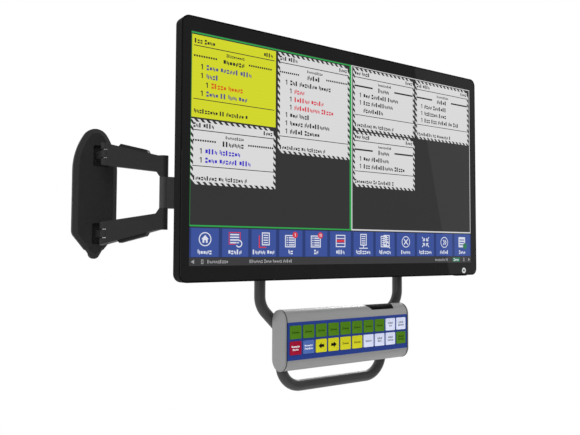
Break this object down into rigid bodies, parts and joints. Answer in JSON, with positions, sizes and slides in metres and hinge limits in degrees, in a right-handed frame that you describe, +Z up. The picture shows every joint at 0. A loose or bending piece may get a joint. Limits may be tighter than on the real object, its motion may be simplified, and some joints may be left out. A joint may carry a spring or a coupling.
{
  "type": "wall-mounted kitchen display",
  "caption": "Flat display on a folding wall arm, with a bar of coloured order keys hung below it on a bent tube; the arm swings, the screen swivels and tilts, and the keys press in.",
  "frame": {"origin": "middle of the wall plate's back face, midway between the four wall bolt holes", "axes": "+X to the right as seen from the front, +Y into the wall, +Z up; the screen faces -Y"},
  "size_m": [0.6186, 0.2321, 0.4997],
  "materials": {
    "black_steel": "satin",
    "black_plastic": "matt",
    "black_casting": "satin",
    "pin_steel": "brushed",
    "bright_washer": "smooth",
    "tube_paint": "satin",
    "gloss_black": "gloss",
    "screen_glass": "polished",
    "panel_module": "matt",
    "sheet_steel": "plain",
    "board": "solder mask",
    "bare_aluminium": "extruded",
    "socket_shell": "plated",
    "button_plastic": "matt",
    "bar_silver": "satin paint",
    "cap_silver": "satin paint",
    "gasket": "matt",
    "panel_blue": "printed sheet",
    "dome_rubber": "matt",
    "key_green": "satin",
    "key_white": "satin",
    "key_red": "satin",
    "key_blue": "satin",
    "key_yellow": "satin"
  },
  "bodies": {
    "wall_side": {"wall_plate": "black_steel", "wall_cover": "black_plastic"},
    "arm": {"upper_arm": "black_casting", "lower_arm": "black_casting", "cable_covers": "black_plastic", "wall_pins": "pin_steel", "wall_washers": "bright_washer", "elbow_pin": "pin_steel"},
    "link": {"link_arm": "black_casting"},
    "head": {"swivel_head": "black_casting", "swivel_pin": "pin_steel"},
    "display": {"tilt_bracket": "black_steel", "tilt_bolt": "pin_steel", "tilt_knob": "black_plastic", "vesa_plate": "black_steel", "vesa_screws": "pin_steel", "frame_plate": "tube_paint", "tube_frame": "tube_paint", "front_frame": "gloss_black", "cover_glass": "screen_glass", "lcd_panel": "panel_module", "chassis_plate": "sheet_steel", "main_board": "board", "heat_sink": "bare_aluminium", "io_sockets": "socket_shell", "speakers": "black_plastic", "camera_module": "board", "rear_cover": "black_plastic", "rear_screws": "pin_steel", "power_switch": "board", "bar_housing": "bar_silver", "end_caps": "cap_silver", "bar_gaskets": "gasket", "key_panel": "panel_blue", "dome_mat": "dome_rubber", "key_board": "board", "port_cover": "gloss_black", "bar_clamps": "black_steel", "clamp_screws": "pin_steel"},
    "power_button": {"power_button": "button_plastic"},
    "key_01": {"key_01": "key_green"},
    "key_02": {"key_02": "key_green"},
    "key_03": {"key_03": "key_green"},
    "key_04": {"key_04": "key_green"},
    "key_05": {"key_05": "key_green"},
    "key_06": {"key_06": "key_green"},
    "key_07": {"key_07": "key_green"},
    "key_08": {"key_08": "key_green"},
    "key_09": {"key_09": "key_white"},
    "key_10": {"key_10": "key_white"},
    "key_11": {"key_11": "key_red"},
    "key_12": {"key_12": "key_blue"},
    "key_13": {"key_13": "key_yellow"},
    "key_14": {"key_14": "key_yellow"},
    "key_15": {"key_15": "key_yellow"},
    "key_16": {"key_16": "key_yellow"},
    "key_17": {"key_17": "key_white"},
    "key_18": {"key_18": "key_white"},
    "key_19": {"key_19": "key_white"},
    "key_20": {"key_20": "key_green"}
  },
  "joints": [
    {"name": "wall_swing", "type": "hinge", "parent": "wall_side", "child": "arm", "pos_m": [0.008, -0.035, 0], "axis": [0, 0, -1], "range_deg": [-10, 60]},
    {"name": "elbow_swing", "type": "hinge", "parent": "arm", "child": "link", "pos_m": [0.0673, -0.10203, 0], "axis": [0, 0, -1], "range_deg": [-8, 60]},
    {"name": "head_swivel", "type": "hinge", "parent": "link", "child": "head", "pos_m": [0.30862, -0.1381, 0], "axis": [0, 0, 1], "range_deg": [-14, 40]},
    {"name": "head_tilt", "type": "hinge", "parent": "head", "child": "display", "pos_m": [0.30862, -0.1631, 0], "axis": [1, 0, 0], "range_deg": [-5, 15]},
    {"name": "power_press", "type": "slide", "parent": "display", "child": "power_button", "axis": [0, 0, 1], "range_m": [0, 0.001], "stiffness_N_per_m": 800, "springref_m": -0.0005},
    {"name": "key_01_press", "type": "slide", "parent": "display", "child": "key_01", "axis": [0, 1, 0], "range_m": [0, 0.0008], "stiffness_N_per_m": 600, "springref_m": -0.0005},
    {"name": "key_02_press", "type": "slide", "parent": "display", "child": "key_02", "axis": [0, 1, 0], "range_m": [0, 0.0008], "stiffness_N_per_m": 600, "springref_m": -0.0005},
    {"name": "key_03_press", "type": "slide", "parent": "display", "child": "key_03", "axis": [0, 1, 0], "range_m": [0, 0.0008], "stiffness_N_per_m": 600, "springref_m": -0.0005},
    {"name": "key_04_press", "type": "slide", "parent": "display", "child": "key_04", "axis": [0, 1, 0], "range_m": [0, 0.0008], "stiffness_N_per_m": 600, "springref_m": -0.0005},
    {"name": "key_05_press", "type": "slide", "parent": "display", "child": "key_05", "axis": [0, 1, 0], "range_m": [0, 0.0008], "stiffness_N_per_m": 600, "springref_m": -0.0005},
    {"name": "key_06_press", "type": "slide", "parent": "display", "child": "key_06", "axis": [0, 1, 0], "range_m": [0, 0.0008], "stiffness_N_per_m": 600, "springref_m": -0.0005},
    {"name": "key_07_press", "type": "slide", "parent": "display", "child": "key_07", "axis": [0, 1, 0], "range_m": [0, 0.0008], "stiffness_N_per_m": 600, "springref_m": -0.0005},
    {"name": "key_08_press", "type": "slide", "parent": "display", "child": "key_08", "axis": [0, 1, 0], "range_m": [0, 0.0008], "stiffness_N_per_m": 600, "springref_m": -0.0005},
    {"name": "key_09_press", "type": "slide", "parent": "display", "child": "key_09", "axis": [0, 1, 0], "range_m": [0, 0.0008], "stiffness_N_per_m": 600, "springref_m": -0.0005},
    {"name": "key_10_press", "type": "slide", "parent": "display", "child": "key_10", "axis": [0, 1, 0], "range_m": [0, 0.0008], "stiffness_N_per_m": 600, "springref_m": -0.0005},
    {"name": "key_11_press", "type": "slide", "parent": "display", "child": "key_11", "axis": [0, 1, 0], "range_m": [0, 0.0008], "stiffness_N_per_m": 600, "springref_m": -0.0005},
    {"name": "key_12_press", "type": "slide", "parent": "display", "child": "key_12", "axis": [0, 1, 0], "range_m": [0, 0.0008], "stiffness_N_per_m": 600, "springref_m": -0.0005},
    {"name": "key_13_press", "type": "slide", "parent": "display", "child": "key_13", "axis": [0, 1, 0], "range_m": [0, 0.0008], "stiffness_N_per_m": 600, "springref_m": -0.0005},
    {"name": "key_14_press", "type": "slide", "parent": "display", "child": "key_14", "axis": [0, 1, 0], "range_m": [0, 0.0008], "stiffness_N_per_m": 600, "springref_m": -0.0005},
    {"name": "key_15_press", "type": "slide", "parent": "display", "child": "key_15", "axis": [0, 1, 0], "range_m": [0, 0.0008], "stiffness_N_per_m": 600, "springref_m": -0.0005},
    {"name": "key_16_press", "type": "slide", "parent": "display", "child": "key_16", "axis": [0, 1, 0], "range_m": [0, 0.0008], "stiffness_N_per_m": 600, "springref_m": -0.0005},
    {"name": "key_17_press", "type": "slide", "parent": "display", "child": "key_17", "axis": [0, 1, 0], "range_m": [0, 0.0008], "stiffness_N_per_m": 600, "springref_m": -0.0005},
    {"name": "key_18_press", "type": "slide", "parent": "display", "child": "key_18", "axis": [0, 1, 0], "range_m": [0, 0.0008], "stiffness_N_per_m": 600, "springref_m": -0.0005},
    {"name": "key_19_press", "type": "slide", "parent": "display", "child": "key_19", "axis": [0, 1, 0], "range_m": [0, 0.0008], "stiffness_N_per_m": 600, "springref_m": -0.0005},
    {"name": "key_20_press", "type": "slide", "parent": "display", "child": "key_20", "axis": [0, 1, 0], "range_m": [0, 0.0008], "stiffness_N_per_m": 600, "springref_m": -0.0005}
  ]
}
